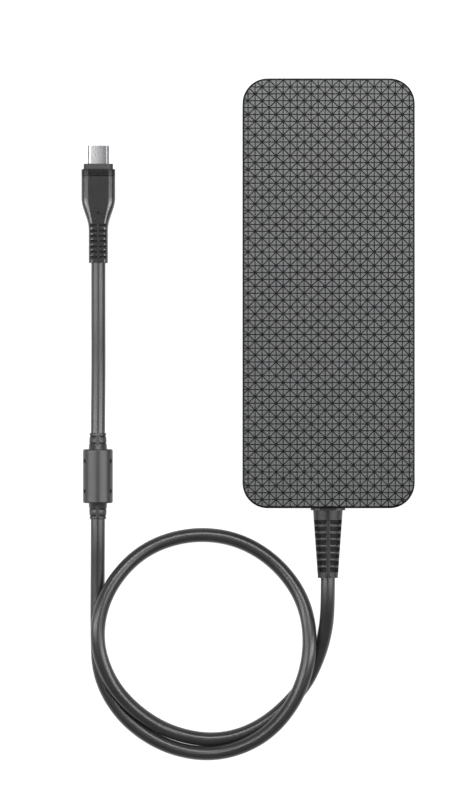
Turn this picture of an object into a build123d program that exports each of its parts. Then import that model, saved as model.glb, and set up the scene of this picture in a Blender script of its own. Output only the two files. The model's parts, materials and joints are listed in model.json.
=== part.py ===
from build123d import *
from math import cos, pi, radians, sin, tan
import os

os.makedirs("parts", exist_ok=True)

# Laptop power adapter, in millimetres. X runs across the brick, Y along it towards its mains
# inlet, Z up. The origin is the middle of the brick's underside, which stands on Z = 0.

# Case
case_width = 67.0
case_length = 167.2
case_height = 25.0
case_corner = 9.8
case_top_edge = 0.6
case_bottom_edge = 1.6
case_wall = 2.2
parting_height = 10.5
lip_height = 1.8
lip_thickness = 1.0
lip_clearance = 0.1
label_width = 44.0
label_length = 74.0
label_recess = 0.35
label_thickness = 0.2
label_clearance = 0.3
label_corner = 2.0

# Mains inlet, the 10 A three-pin kind
inlet_height = 12.5
inlet_cavity_width = 24.2
inlet_cavity_height = 16.6
inlet_chamfer = 5.0
inlet_cavity_depth = 16.0
inlet_wall = 1.5
inlet_back = 5.0
inlet_clearance = 0.1
inlet_ear = 2.0
inlet_ear_height = 12.0
inlet_ear_thickness = 1.6
pin_width = 2.0
pin_height = 4.0
pin_length = 14.0
pin_tail = 4.0
pin_spacing = 14.0
pin_offset = 2.0
pin_point = 0.5
lead_radius = 0.9
lead_bend = 1.6
output_lead_radius = 0.7

# Main board and what stands on it
board_thickness = 1.6
board_height = 5.2
board_width = 60.8
board_inlet_gap = 2.6
board_cord_gap = 6.6
board_corner = 6.0
post_setback = (5.0, 4.0)
cord_post_setback = (9.0, 5.0)
post_hole_floor = 0.6
board_post_radius = 3.0
board_screw_radius = 1.25
board_screw_head = 2.4
board_screw_head_height = 1.5
board_screw_slot = (3.0, 0.6)
board_screw_slot_depth = 0.8
sheet_margin = 1.0
shield_thickness = 0.3
sheet_thickness = 0.4
pad_thickness = 1.2
copper_thickness = 0.4
bulk_radius = 9.0
bulk_length = 36.0
bulk_gap = 0.6
bulk_middle = (-11.0, 3.0)
bulk_clearance = 0.6

# Cord and the pieces on it
cord_diameter = 5.6
cord_axis_height = parting_height
strain_relief_length = 27.6
strain_relief_base = 11.9
strain_relief_tip = 7.9
strain_relief_flange = 13.5
strain_relief_flange_thickness = 1.0
strain_relief_slots = 8
strain_relief_slot = 1.7
strain_relief_pitch = 2.69
strain_relief_first = 5.65
strain_relief_core = 0.3
strain_relief_shoulder = 4.0
strain_relief_inner_flange = 2.0
strain_relief_inner_radius = 6.1
cord_tail_proud = 0.8
spine_width = 1.5

ferrite_radius = 5.85
ferrite_length = 21.2
ferrite_edge = 0.5
ferrite_middle = (-90.3, -71.4, 5.9)
ferrite_sleeve_length = 6.3
ferrite_sleeve_wall = 0.6
ferrite_sleeve_tip_wall = 0.25
ferrite_rings = (1.45, 4.15)
ferrite_ring_width = 0.9
ferrite_ring_floor = 0.15
ferrite_core_length = 17.5
ferrite_core_radius = 4.8
bore_clearance = 0.2
core_pin_radius = 0.85
core_pin_depth = 0.7
core_pin_spacing = 11.8
core_pin_angle = 62.0

# USB-C plug; its middle is where the overmould's front face meets the plug's axis
plug_place = (-90.2, 49.35, 3.4)
plug_width = 13.3
plug_thickness = 6.8
plug_edge = 2.9
plug_straight = 11.2
plug_shoulder = 12.7
plug_length = 36.95
plug_neck_width = 7.6
plug_band_length = 2.9
plug_collar_width = 11.6
plug_collar_height = 5.4
plug_collar_length = 2.05
plug_core_width = 10.4
plug_core_height = 4.2
plug_core_length = 12.0
plug_slots = 7
plug_slot = 1.0
plug_slot_pitch = 2.08
plug_slot_first = 21.85
plug_slot_floor = 1.9
shell_width = 8.25
shell_height = 2.4
shell_wall = 0.25
shell_length = 7.25
shell_tail = 3.4
contact_count = 12
contact_pitch = 0.5
indicator_distance = 17.4
indicator_radius = 0.55

# The cord's route from the strain relief to the plug: down to the table, once and a third
# round a loop that lies on itself, then straight up past the brick.
cord_route = [
    (0.0, -111.2, 10.5),
    (0.0, -120.6, 10.5),
    (-0.6, -131.2, 7.3),
    (-3.4, -142.4, 3.5),
    (-9.6, -155.4, 2.8),
    (-25.0, -170.0, 2.8),
    (-42.0, -176.0, 2.8),
    (-60.0, -173.5, 2.8),
    (-75.0, -164.8, 5.5),
    (-86.4, -151.6, 7.7),
    (-91.5, -134.0, 9.3),
    (-86.8, -115.5, 8.4),
    (-73.5, -100.5, 4.4),
    (-55.0, -94.0, 2.8),
    (-36.0, -95.6, 2.9),
    (-19.5, -105.5, 2.9),
    (-8.4, -121.5, 5.6),
    (-6.4, -141.0, 9.6),
    (-12.5, -160.0, 9.2),
    (-25.5, -174.6, 8.6),
    (-44.0, -181.5, 4.7),
    (-63.5, -178.5, 2.8),
    (-80.0, -167.5, 2.8),
    (-90.0, -151.0, 2.8),
    (-90.6, -132.0, 2.8),
    (-90.5, -113.0, 3.8),
    (-90.3, -93.0, 5.9),
    (-90.3, -52.5, 5.9),
    (-90.1, -30.0, 5.0),
    (-90.2, -8.6, 3.4),
    (-90.2, 12.4, 3.4),
]

inner_width = case_width - 2 * case_wall
inner_length = case_length - 2 * case_wall
inner_corner = case_corner - case_wall
board_top = board_height + board_thickness
inlet_width = inlet_cavity_width + 2 * inlet_wall
case_north = case_length / 2
case_south = -case_length / 2
inlet_depth = inlet_cavity_depth + inlet_back
board_north = case_north - inlet_depth - pin_tail - board_inlet_gap
board_south = case_south + board_cord_gap
cord_radius = cord_diameter / 2
cord_hole = strain_relief_base / 2 - case_wall / 2
bore = cord_radius + bore_clearance
lid_inside = case_height - case_wall
headroom = lid_inside - copper_thickness - pad_thickness - board_top
cord_plane = Plane((0, case_south, cord_axis_height), x_dir=(1, 0, 0), z_dir=(0, -1, 0))
inlet_plane = Plane((0, case_north, inlet_height), x_dir=(-1, 0, 0), z_dir=(0, 1, 0))
plug_plane = Plane(plug_place, x_dir=(-1, 0, 0), z_dir=(0, 1, 0))
plug_top_plane = Plane(plug_place, x_dir=(1, 0, 0), z_dir=(0, 0, 1))


def save(piece, name):
    """Labels a finished piece and writes it to its own STEP file."""
    piece.part.label = name
    export_step(piece.part, f"parts/{name}.step")


def block(middle, size, height=board_top):
    """A box that stands on a height, as a part to add to the open builder."""
    with Locations((middle[0], middle[1], height)):
        Box(size[0], size[1], size[2], align=(Align.CENTER, Align.CENTER, Align.MIN))


def inlet_outline(grow):
    """The inlet's six-sided outline, grown by a wall or a clearance, with its chamfers up."""
    half_width = inlet_cavity_width / 2 + grow
    half_height = inlet_cavity_height / 2 + grow
    cut = inlet_chamfer + grow * tan(radians(22.5))
    with BuildLine() as outline:
        Polyline(
            (-half_width, -half_height),
            (half_width, -half_height),
            (half_width, half_height - cut),
            (half_width - cut, half_height),
            (cut - half_width, half_height),
            (-half_width, half_height - cut),
            close=True,
        )
    make_face(outline.edges())


# ---- case: two moulded shells that meet at the parting line, a lip inside a rebate ----

with BuildPart() as top_cover:
    with BuildSketch(Plane.XY.offset(parting_height)):
        RectangleRounded(case_width, case_length, case_corner)
    extrude(amount=case_height - parting_height)
    fillet(top_cover.faces().sort_by(Axis.Z)[-1].edges(), case_top_edge)
    with BuildSketch(Plane.XY.offset(parting_height)):
        RectangleRounded(inner_width, inner_length, inner_corner)
    extrude(amount=lid_inside - parting_height, mode=Mode.SUBTRACT)
    rebate = lip_thickness + lip_clearance
    with BuildSketch(Plane.XY.offset(parting_height)):
        RectangleRounded(inner_width + 2 * rebate, inner_length + 2 * rebate, inner_corner + rebate)
    extrude(amount=lip_height + lip_clearance, mode=Mode.SUBTRACT)
    with BuildSketch(inlet_plane.offset(-2 * case_wall)):
        inlet_outline(inlet_wall + inlet_clearance)
    extrude(amount=3 * case_wall, mode=Mode.SUBTRACT)
    with BuildSketch(cord_plane.offset(-2 * case_wall)):
        Circle(cord_hole + lip_clearance)
    extrude(amount=3 * case_wall, mode=Mode.SUBTRACT)
save(top_cover, "top_cover")

post_places = []
for side in (-1, 1):
    post_places.append((side * (board_width / 2 - post_setback[0]), board_north - post_setback[1]))
    post_places.append((side * (board_width / 2 - cord_post_setback[0]), board_south + cord_post_setback[1]))

with BuildPart() as bottom_cover:
    with BuildSketch():
        RectangleRounded(case_width, case_length, case_corner)
    extrude(amount=parting_height)
    fillet(bottom_cover.faces().sort_by(Axis.Z)[0].edges(), case_bottom_edge)
    with BuildSketch(Plane.XY.offset(parting_height)):
        lip_width = inner_width + 2 * lip_thickness
        RectangleRounded(lip_width, inner_length + 2 * lip_thickness, inner_corner + lip_thickness)
    extrude(amount=lip_height)
    with BuildSketch(Plane.XY.offset(case_wall)):
        RectangleRounded(inner_width, inner_length, inner_corner)
    extrude(amount=parting_height, mode=Mode.SUBTRACT)
    with BuildSketch(Plane.XY):
        RectangleRounded(label_width, label_length, label_corner)
    extrude(amount=label_recess, mode=Mode.SUBTRACT)
    with BuildSketch(Plane.XY.offset(case_wall)):
        with Locations(*post_places):
            Circle(board_post_radius)
    extrude(amount=board_height - case_wall)
    with BuildSketch(Plane.XY.offset(case_wall + post_hole_floor)):
        with Locations(*post_places):
            Circle(board_screw_radius)
    extrude(amount=board_height, mode=Mode.SUBTRACT)
    with BuildSketch(inlet_plane.offset(-2 * case_wall)):
        inlet_outline(inlet_wall + inlet_clearance)
    extrude(amount=3 * case_wall, mode=Mode.SUBTRACT)
    with BuildSketch(cord_plane.offset(-2 * case_wall)):
        Circle(cord_hole + lip_clearance)
    extrude(amount=3 * case_wall, mode=Mode.SUBTRACT)
save(bottom_cover, "bottom_cover")

with BuildPart() as rating_label:
    with BuildSketch(Plane.XY.offset(label_recess)):
        label_rounding = label_corner - label_clearance / 2
        RectangleRounded(label_width - label_clearance, label_length - label_clearance, label_rounding)
    extrude(amount=-label_thickness)
save(rating_label, "rating_label")

# ---- mains inlet ----

with BuildPart() as inlet_housing:
    with BuildSketch(inlet_plane):
        inlet_outline(inlet_wall)
    extrude(amount=-inlet_depth)
    with BuildSketch(inlet_plane.offset(-case_wall - inlet_clearance)):
        Rectangle(inlet_width + 2 * inlet_ear, inlet_ear_height)
    extrude(amount=-inlet_ear_thickness)
    with BuildSketch(inlet_plane):
        inlet_outline(0)
    extrude(amount=-inlet_cavity_depth, mode=Mode.SUBTRACT)
    with BuildSketch(inlet_plane):
        with Locations((-pin_spacing / 2, -pin_offset), (pin_spacing / 2, -pin_offset), (0, pin_offset)):
            Rectangle(pin_width, pin_height)
    extrude(amount=-inlet_depth, mode=Mode.SUBTRACT)
save(inlet_housing, "inlet_housing")

pin_front = pin_length - inlet_cavity_depth
for pin_name, places in {
    "inlet_power_pins": [(-pin_spacing / 2, -pin_offset), (pin_spacing / 2, -pin_offset)],
    "inlet_earth_pin": [(0, pin_offset)],
}.items():
    with BuildPart() as inlet_pin:
        with BuildSketch(inlet_plane.offset(pin_front)):
            with Locations(*places):
                Rectangle(pin_width, pin_height)
        extrude(amount=-(pin_length + inlet_back + pin_tail))
        chamfer(inlet_pin.faces().sort_by(Axis.Y)[-1].edges(), pin_point)
    save(inlet_pin, pin_name)

lead_start = case_north - inlet_depth - pin_tail
inlet_leads = {
    "line_lead": (-pin_spacing / 2, inlet_height - pin_offset),
    "neutral_lead": (pin_spacing / 2, inlet_height - pin_offset),
    "earth_lead": (0, inlet_height + pin_offset),
}
for lead_name, (lead_x, lead_z) in inlet_leads.items():
    with BuildPart() as inlet_lead:
        with BuildLine() as lead_path:
            FilletPolyline(
                (lead_x, lead_start, lead_z),
                (lead_x, lead_start - 2 * lead_bend, lead_z),
                (lead_x, lead_start - 3 * lead_bend, board_top),
                radius=lead_bend / 2,
            )
        with BuildSketch(Plane(lead_path.line @ 0, z_dir=lead_path.line % 0)):
            Circle(lead_radius)
        sweep()
        with BuildSketch(Plane.XY.offset(board_top)):
            Rectangle(3 * board_width, 3 * inner_length)
        extrude(amount=-board_height, mode=Mode.SUBTRACT)
    save(inlet_lead, lead_name)

# ---- main board, its shields and its screws ----

bulk_pitch = 2 * bulk_radius + bulk_gap
notch_east = bulk_middle[0] + bulk_pitch / 2 + bulk_radius + bulk_clearance
notch_length = bulk_length + 2 * bulk_clearance
board_middle = (board_north + board_south) / 2
board_length = board_north - board_south

with BuildPart() as main_board:
    with BuildSketch(Plane.XY.offset(board_height)) as board_outline:
        with Locations((0, board_middle)):
            Rectangle(board_width, board_length)
        chamfer(board_outline.vertices().group_by(Axis.Y)[0], board_corner)
        with Locations((notch_east - board_width / 2, bulk_middle[1])):
            Rectangle(board_width, notch_length, mode=Mode.SUBTRACT)
        with Locations(*post_places):
            Circle(board_screw_radius + lip_clearance, mode=Mode.SUBTRACT)
    extrude(amount=board_thickness)
save(main_board, "main_board")

with BuildPart() as board_screws:
    with BuildSketch(Plane.XY.offset(case_wall + 2 * post_hole_floor)):
        with Locations(*post_places):
            Circle(board_screw_radius)
    extrude(amount=board_top - case_wall - 2 * post_hole_floor)
    with BuildSketch(Plane.XY.offset(board_top)):
        with Locations(*post_places):
            Circle(board_screw_head)
    extrude(amount=board_screw_head_height)
    fillet(board_screws.faces().group_by(Axis.Z)[-1].edges(), board_screw_head_height / 3)
    with BuildSketch(Plane.XY.offset(board_top + board_screw_head_height)):
        with Locations(*post_places):
            Rectangle(board_screw_slot[0], board_screw_slot[1])
            Rectangle(board_screw_slot[1], board_screw_slot[0])
    extrude(amount=-board_screw_slot_depth, mode=Mode.SUBTRACT)
save(board_screws, "board_screws")

for sheet_name, sheet_base, thickness in (
    ("lower_shield", case_wall, shield_thickness),
    ("insulation_sheet", case_wall + shield_thickness, sheet_thickness),
):
    with BuildPart() as floor_sheet:
        with BuildSketch(Plane.XY.offset(sheet_base)) as sheet_outline:
            with Locations((0, board_middle)):
                Rectangle(board_width - 2 * sheet_margin, board_length - 2 * sheet_margin)
            chamfer(sheet_outline.vertices().group_by(Axis.Y)[0], board_corner)
            with Locations(*post_places):
                Circle(board_post_radius + 4 * lip_clearance, mode=Mode.SUBTRACT)
        extrude(amount=thickness)
    save(floor_sheet, sheet_name)

with BuildPart() as heat_spreader:
    with BuildSketch(Plane.XY.offset(lid_inside)) as spreader_outline:
        with Locations((0, board_middle)):
            Rectangle(board_width - 4 * sheet_margin, board_length - 4 * sheet_margin)
        chamfer(spreader_outline.vertices(), board_corner)
    extrude(amount=-copper_thickness)
save(heat_spreader, "heat_spreader")

# ---- mains side, placed back from the board's inlet edge ----


def pins(places, size):
    """Square leads that stand on the board, as boxes to add to the open builder."""
    for place in places:
        block(place, size)


fuse_place = (-27.0, board_north - 16.0)
fuse_size = (4.0, 9.0, 8.0)
box_corner = 0.8
with BuildPart() as fuse:
    block(fuse_place, fuse_size)
    fillet(fuse.edges().filter_by(Axis.Z), box_corner)
save(fuse, "fuse")

disc_place = board_north - 8.0
disc_lift = 1.2
disc_rounding = 1.4
disc_lead = 0.4
disc_lead_spread = 2.5
for disc_name, disc_x, disc_radius, disc_thickness in (
    ("varistor", -18.0, 5.0, 4.2),
    ("thermistor", -9.5, 4.5, 4.0),
):
    with BuildPart() as disc:
        with BuildSketch(Plane((disc_x, disc_place, board_top + disc_radius + disc_lift), z_dir=(1, 0, 0))):
            Circle(disc_radius)
        extrude(amount=disc_thickness / 2, both=True)
        fillet(disc.edges(), disc_rounding)
        for side in (-1, 1):
            with Locations((disc_x, disc_place + side * disc_lead_spread, board_top)):
                Cylinder(disc_lead, disc_radius, align=(Align.CENTER, Align.CENTER, Align.MIN))
    save(disc, disc_name)

x_capacitor_place = (8.0, board_north - 9.5)
x_capacitor_size = (18.0, 8.0, headroom - 0.4)
with BuildPart() as x_capacitor:
    block(x_capacitor_place, x_capacitor_size)
    fillet(x_capacitor.edges().filter_by(Axis.Z), box_corner)
save(x_capacitor, "x_capacitor")

choke_middle = (-15.0, board_north - 24.8)
choke_ring = 9.0
choke_hole = 5.0
choke_height = 7.0
choke_gap = 5.0
winding_wall = 1.2
with BuildPart() as choke_core:
    with BuildSketch(Plane.XY.offset(board_top + winding_wall)):
        with Locations(choke_middle):
            Circle(choke_ring)
            Circle(choke_hole, mode=Mode.SUBTRACT)
    extrude(amount=choke_height)
save(choke_core, "choke_core")

with BuildPart() as choke_windings:
    with BuildSketch(Plane.XY.offset(board_top)):
        with Locations(choke_middle):
            Circle(choke_ring + winding_wall)
            Circle(choke_hole - winding_wall, mode=Mode.SUBTRACT)
            Rectangle(choke_gap, 3 * choke_ring, mode=Mode.SUBTRACT)
    extrude(amount=choke_height + 2 * winding_wall)
    add(choke_core.part, mode=Mode.SUBTRACT)
save(choke_windings, "choke_windings")

sink_middle = (17.0, board_north - 21.8)
sink_width = 25.0
sink_thickness = 1.6
sink_lift = 0.6
sink_foot = 2.0
sink_feet_spacing = 18.0
bridge_size = (20.0, 3.8, 10.5)
bridge_lift = 3.0
bridge_lead = (1.0, 0.6, bridge_lift)
bridge_lead_pitch = 5.0
transistor_size = (10.0, 4.4, 9.4)
transistor_lift = 3.6
transistor_lead = (0.9, 0.6, transistor_lift)
transistor_lead_pitch = 2.54
transistor_spacing = 12.0
with BuildPart() as primary_heat_sink:
    block(sink_middle, (sink_width, sink_thickness, headroom - sink_lift), board_top + sink_lift)
    for side in (-1, 1):
        foot_x = sink_middle[0] + side * sink_feet_spacing / 2
        block((foot_x, sink_middle[1]), (sink_foot, sink_thickness, sink_lift))
save(primary_heat_sink, "primary_heat_sink")

bridge_y = sink_middle[1] + (sink_thickness + bridge_size[1]) / 2
with BuildPart() as bridge_rectifier:
    block((sink_middle[0], bridge_y), bridge_size, board_top + bridge_lift)
    bridge_leads = [sink_middle[0] + step * bridge_lead_pitch for step in (-1.5, -0.5, 0.5, 1.5)]
    pins([(lead_x, bridge_y) for lead_x in bridge_leads], bridge_lead)
save(bridge_rectifier, "bridge_rectifier")

transistor_y = sink_middle[1] - (sink_thickness + transistor_size[1]) / 2
with BuildPart() as power_transistors:
    for side in (-1, 1):
        transistor_x = sink_middle[0] + side * transistor_spacing / 2
        block((transistor_x, transistor_y), transistor_size, board_top + transistor_lift)
        lead_places = [(transistor_x + leg * transistor_lead_pitch, transistor_y) for leg in (-1, 0, 1)]
        pins(lead_places, transistor_lead)
save(power_transistors, "power_transistors")

coil_gap = 0.2
core_lift = 0.5
core_base = board_top + core_lift
core_plate = 2.6
core_leg = 2.4
core_headroom = 0.3


def wound_core(middle, size, post, former_wall):
    """A ferrite core with a round centre post, and the winding that fills its window."""
    width, length, height = size
    window = width / 2 - core_leg
    with BuildPart() as core:
        block(middle, size, core_base)
        with BuildSketch(Plane.XY.offset(core_base + core_plate)):
            with Locations(middle):
                Rectangle(2 * window, length + core_plate)
                Circle(post, mode=Mode.SUBTRACT)
        extrude(amount=height - 2 * core_plate, mode=Mode.SUBTRACT)
    with BuildPart() as winding:
        with BuildSketch(Plane.XY.offset(core_base + core_plate + coil_gap + former_wall)):
            with Locations(middle):
                Circle(window - coil_gap)
                Circle(post + coil_gap + former_wall, mode=Mode.SUBTRACT)
        extrude(amount=height - 2 * core_plate - 2 * coil_gap - former_wall)
    return core, winding


tall_core = headroom - core_lift - core_headroom
inductor_middle = (19.0, board_north - 39.5)
inductor_size = (20.0, 19.0, tall_core)
inductor_post = 3.8
inductor_core, inductor_winding = wound_core(inductor_middle, inductor_size, inductor_post, 0)
save(inductor_core, "inductor_core")
save(inductor_winding, "inductor_winding")

bulk_sleeve_rounding = 0.8
with BuildPart() as bulk_capacitors:
    bulk_plane = Plane((bulk_middle[0], bulk_middle[1], case_height / 2), x_dir=(1, 0, 0), z_dir=(0, -1, 0))
    with BuildSketch(bulk_plane.offset(-bulk_length / 2)):
        with GridLocations(bulk_pitch, 1, 2, 1):
            Circle(bulk_radius)
    extrude(amount=bulk_length)
    fillet(bulk_capacitors.edges(), bulk_sleeve_rounding)
save(bulk_capacitors, "bulk_capacitors")

# ---- isolation, placed from the middle of the board ----

transformer_middle = (-14.0, -33.0)
transformer_size = (28.0, 26.0, tall_core)
transformer_post = 5.2
former_wall = 1.0
former_inset = 0.5
transformer_core, transformer_winding = wound_core(
    transformer_middle, transformer_size, transformer_post, former_wall
)
save(transformer_core, "transformer_core")
save(transformer_winding, "transformer_winding")

former_bore = transformer_post + coil_gap
former_width = transformer_size[0] - 2 * core_leg - 2 * coil_gap
with BuildPart() as transformer_former:
    with BuildSketch(Plane.XY.offset(core_base + core_plate)):
        with Locations(transformer_middle):
            Rectangle(former_width, transformer_size[1] - 2 * former_inset)
            Circle(former_bore, mode=Mode.SUBTRACT)
    extrude(amount=former_wall)
    with BuildSketch(Plane.XY.offset(core_base + core_plate)):
        with Locations(transformer_middle):
            Circle(former_bore + former_wall)
            Circle(former_bore, mode=Mode.SUBTRACT)
    extrude(amount=transformer_size[2] - 2 * core_plate - coil_gap)
save(transformer_former, "transformer_former")

resonant_middle = (10.5, -27.0)
resonant_size = (15.0, 14.0, 11.0)
resonant_post = 2.6
resonant_core, resonant_winding = wound_core(resonant_middle, resonant_size, resonant_post, 0)
save(resonant_core, "resonant_inductor_core")
save(resonant_winding, "resonant_inductor_winding")

resonant_capacitor_place = (24.5, -17.0)
resonant_capacitor_size = (6.0, 13.0, 11.0)
with BuildPart() as resonant_capacitor:
    block(resonant_capacitor_place, resonant_capacitor_size)
    fillet(resonant_capacitor.edges().filter_by(Axis.Z), box_corner)
save(resonant_capacitor, "resonant_capacitor")

safety_places = (5.5, 14.5)
safety_y = -42.0
safety_radius = 3.6
safety_thickness = 3.6
safety_lift = 1.1
safety_rounding = 1.0
safety_lead_spread = 2.2
with BuildPart() as safety_capacitors:
    for middle in safety_places:
        safety_origin = (middle, safety_y, board_top + safety_radius + safety_lift)
        with BuildSketch(Plane(safety_origin, z_dir=(0, 1, 0))):
            Circle(safety_radius)
        extrude(amount=safety_thickness / 2, both=True)
    fillet(safety_capacitors.edges(), safety_rounding)
    for middle in safety_places:
        with Locations(*[(middle + side * safety_lead_spread, safety_y, board_top) for side in (-1, 1)]):
            Cylinder(disc_lead, safety_radius, align=(Align.CENTER, Align.CENTER, Align.MIN))
save(safety_capacitors, "safety_capacitors")

coupler_places = [(24.5, -30.0), (24.5, -37.0), (24.5, -44.0)]
coupler_size = (6.4, 4.6, 3.2)
coupler_lift = 0.4
coupler_lead = (0.8, 0.6, 2.0)
coupler_lead_spread = (3.6, 1.27)
with BuildPart() as optocouplers:
    for coupler_x, coupler_y in coupler_places:
        block((coupler_x, coupler_y), coupler_size, board_top + coupler_lift)
        for side in (-1, 1):
            lead_x = coupler_x + side * coupler_lead_spread[0]
            pins([(lead_x, coupler_y + end * coupler_lead_spread[1]) for end in (-1, 1)], coupler_lead)
save(optocouplers, "optocouplers")

# ---- output side, placed in from the board's cord edge ----

rectifier_middle = (-14.0, board_south + 24.0)
rectifier_spacing = 14.0
rectifier_size = (6.0, 5.0, 1.0)
fin_count = 7
fin_gap = 2.2
fin_floor = 3.0
output_sink_size = (26.0, 8.0, 11.0)
with BuildPart() as rectifier_transistors:
    for side in (-1, 1):
        block((rectifier_middle[0] + side * rectifier_spacing / 2, rectifier_middle[1]), rectifier_size)
save(rectifier_transistors, "rectifier_transistors")

output_sink_base = board_top + rectifier_size[2]
with BuildPart() as secondary_heat_sink:
    block(rectifier_middle, output_sink_size, output_sink_base)
    with BuildSketch(Plane.XY.offset(output_sink_base + fin_floor)):
        with Locations(rectifier_middle):
            with GridLocations(output_sink_size[0] / fin_count, 1, fin_count - 1, 1):
                Rectangle(fin_gap, 2 * output_sink_size[1])
    extrude(amount=output_sink_size[2], mode=Mode.SUBTRACT)
save(secondary_heat_sink, "secondary_heat_sink")

ring_middle = (10.5, board_south + 24.5)
ring_radius = 6.0
ring_hole = 3.2
ring_height = 5.0
ring_winding = 1.0
ring_opening = (9.0, 4.0)
with BuildPart() as output_choke_core:
    with BuildSketch(Plane.XY.offset(board_top + ring_winding)):
        with Locations(ring_middle):
            Circle(ring_radius)
            Circle(ring_hole, mode=Mode.SUBTRACT)
    extrude(amount=ring_height)
save(output_choke_core, "output_choke_core")

with BuildPart() as output_choke_winding:
    with BuildSketch(Plane.XY.offset(board_top)):
        with Locations(ring_middle):
            Circle(ring_radius + ring_winding)
            Circle(ring_hole - ring_winding, mode=Mode.SUBTRACT)
        with Locations((ring_middle[0] - ring_radius - ring_winding, ring_middle[1])):
            Rectangle(ring_opening[0], ring_opening[1], mode=Mode.SUBTRACT)
    extrude(amount=ring_height + 2 * ring_winding)
    add(output_choke_core.part, mode=Mode.SUBTRACT)
save(output_choke_winding, "output_choke_winding")

can_middle = (-5.5, board_south + 12.5)
can_radius = 4.0
can_height = 12.0
can_pitch = 9.5
can_count = 4
can_rounding = 0.6
with BuildPart() as output_capacitors:
    with BuildSketch(Plane.XY.offset(board_top)):
        with Locations(can_middle):
            with GridLocations(can_pitch, 1, can_count, 1):
                Circle(can_radius)
    extrude(amount=can_height)
    fillet(output_capacitors.faces().group_by(Axis.Z)[-1].edges(), can_rounding)
save(output_capacitors, "output_capacitors")

controller_place = (24.0, board_south + 16.5)
controller_size = (1.0, 20.0, 12.5)
with BuildPart() as controller_board:
    block(controller_place, controller_size)
save(controller_board, "controller_board")

with BuildPart() as controller_chips:
    for along, chip_size, chip_lift in ((-3.5, (1.0, 5.0, 5.0), 4.0), (4.5, (0.8, 4.0, 3.0), 5.0)):
        chip_x = controller_place[0] - (controller_size[0] + chip_size[0]) / 2
        block((chip_x, controller_place[1] + along), chip_size, board_top + chip_lift)
save(controller_chips, "controller_chips")

# ---- cord: strain relief, the stretch inside it and the leads behind it ----

relief_floor = cord_radius + strain_relief_core
with BuildPart() as strain_relief:
    with BuildSketch(cord_plane):
        RectangleRounded(strain_relief_flange, strain_relief_flange, strain_relief_shoulder)
    extrude(amount=strain_relief_flange_thickness)
    with BuildSketch(cord_plane.offset(strain_relief_flange_thickness)):
        Circle(strain_relief_base / 2)
    with BuildSketch(cord_plane.offset(strain_relief_length)):
        Circle(strain_relief_tip / 2)
    loft()
    with BuildSketch(cord_plane):
        Circle(cord_hole)
    extrude(amount=-case_wall - strain_relief_inner_flange)
    with BuildSketch(cord_plane.offset(-case_wall)):
        Circle(strain_relief_inner_radius)
    extrude(amount=-strain_relief_inner_flange)
    for index in range(strain_relief_slots):
        station = strain_relief_first + index * strain_relief_pitch
        with BuildSketch(cord_plane.offset(station - strain_relief_slot / 2)):
            Circle(strain_relief_base)
            Circle(relief_floor, mode=Mode.SUBTRACT)
            Rectangle(spine_width, 3 * strain_relief_base, mode=Mode.SUBTRACT)
            Rectangle(3 * strain_relief_base, spine_width, mode=Mode.SUBTRACT)
        extrude(amount=strain_relief_slot, mode=Mode.SUBTRACT)
    with BuildSketch(cord_plane.offset(strain_relief_length)):
        Circle(cord_radius)
    extrude(amount=-2 * strain_relief_length, mode=Mode.SUBTRACT)
save(strain_relief, "strain_relief")

tail_inside = case_wall + strain_relief_inner_flange + cord_tail_proud
with BuildPart() as cord_tail:
    with BuildSketch(cord_plane.offset(-tail_inside)):
        Circle(cord_radius)
    extrude(amount=tail_inside + strain_relief_length)
save(cord_tail, "cord_tail")

output_leads = {"positive_lead": (-1.6, -6.0), "return_lead": (1.6, 6.0), "signal_lead": (0, 0)}
output_lead_start = case_south + tail_inside
for lead_name, (near_x, far_x) in output_leads.items():
    with BuildPart() as output_lead:
        with BuildLine() as lead_path:
            FilletPolyline(
                (near_x, output_lead_start, cord_axis_height),
                (near_x, output_lead_start + 2.0, cord_axis_height),
                (far_x, output_lead_start + 4.5, board_top + 2.0),
                (far_x, output_lead_start + 5.2, board_top),
                radius=0.8,
            )
        with BuildSketch(Plane(lead_path.line @ 0, z_dir=lead_path.line % 0)):
            Circle(output_lead_radius)
        sweep()
        with BuildSketch(Plane.XY.offset(board_top)):
            Rectangle(3 * board_width, 3 * inner_length)
        extrude(amount=-board_height, mode=Mode.SUBTRACT)
    save(output_lead, lead_name)

# ---- cord: one tube of straight runs and tangent arcs ----

route = [Vector(point) for point in cord_route]
corner_radii = []
for before, corner, after in zip(route, route[1:], route[2:]):
    turn = (corner - before).get_angle(after - corner)
    shorter = min((corner - before).length, (after - corner).length)
    corner_radii.append(0.45 * shorter / tan(radians(turn / 2)))

with BuildPart() as power_cord:
    with BuildLine() as cord_path:
        FilletPolyline(*cord_route, radius=corner_radii)
    with BuildSketch(Plane(cord_path.wire() @ 0, z_dir=cord_path.wire() % 0)):
        Circle(cord_radius)
    sweep()
save(power_cord, "power_cord")

cord_length = cord_path.wire().length
cord_section = pi * cord_radius**2
print("cord radii", [round(radius, 1) for radius in corner_radii])
print("cord length", round(cord_length, 1))
cord_share = power_cord.part.volume / (cord_section * cord_length)
print("cord volume over section times length", round(cord_share, 5))

# ---- ferrite on the cord: a split core inside a moulding with a sleeve at each end ----

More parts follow.
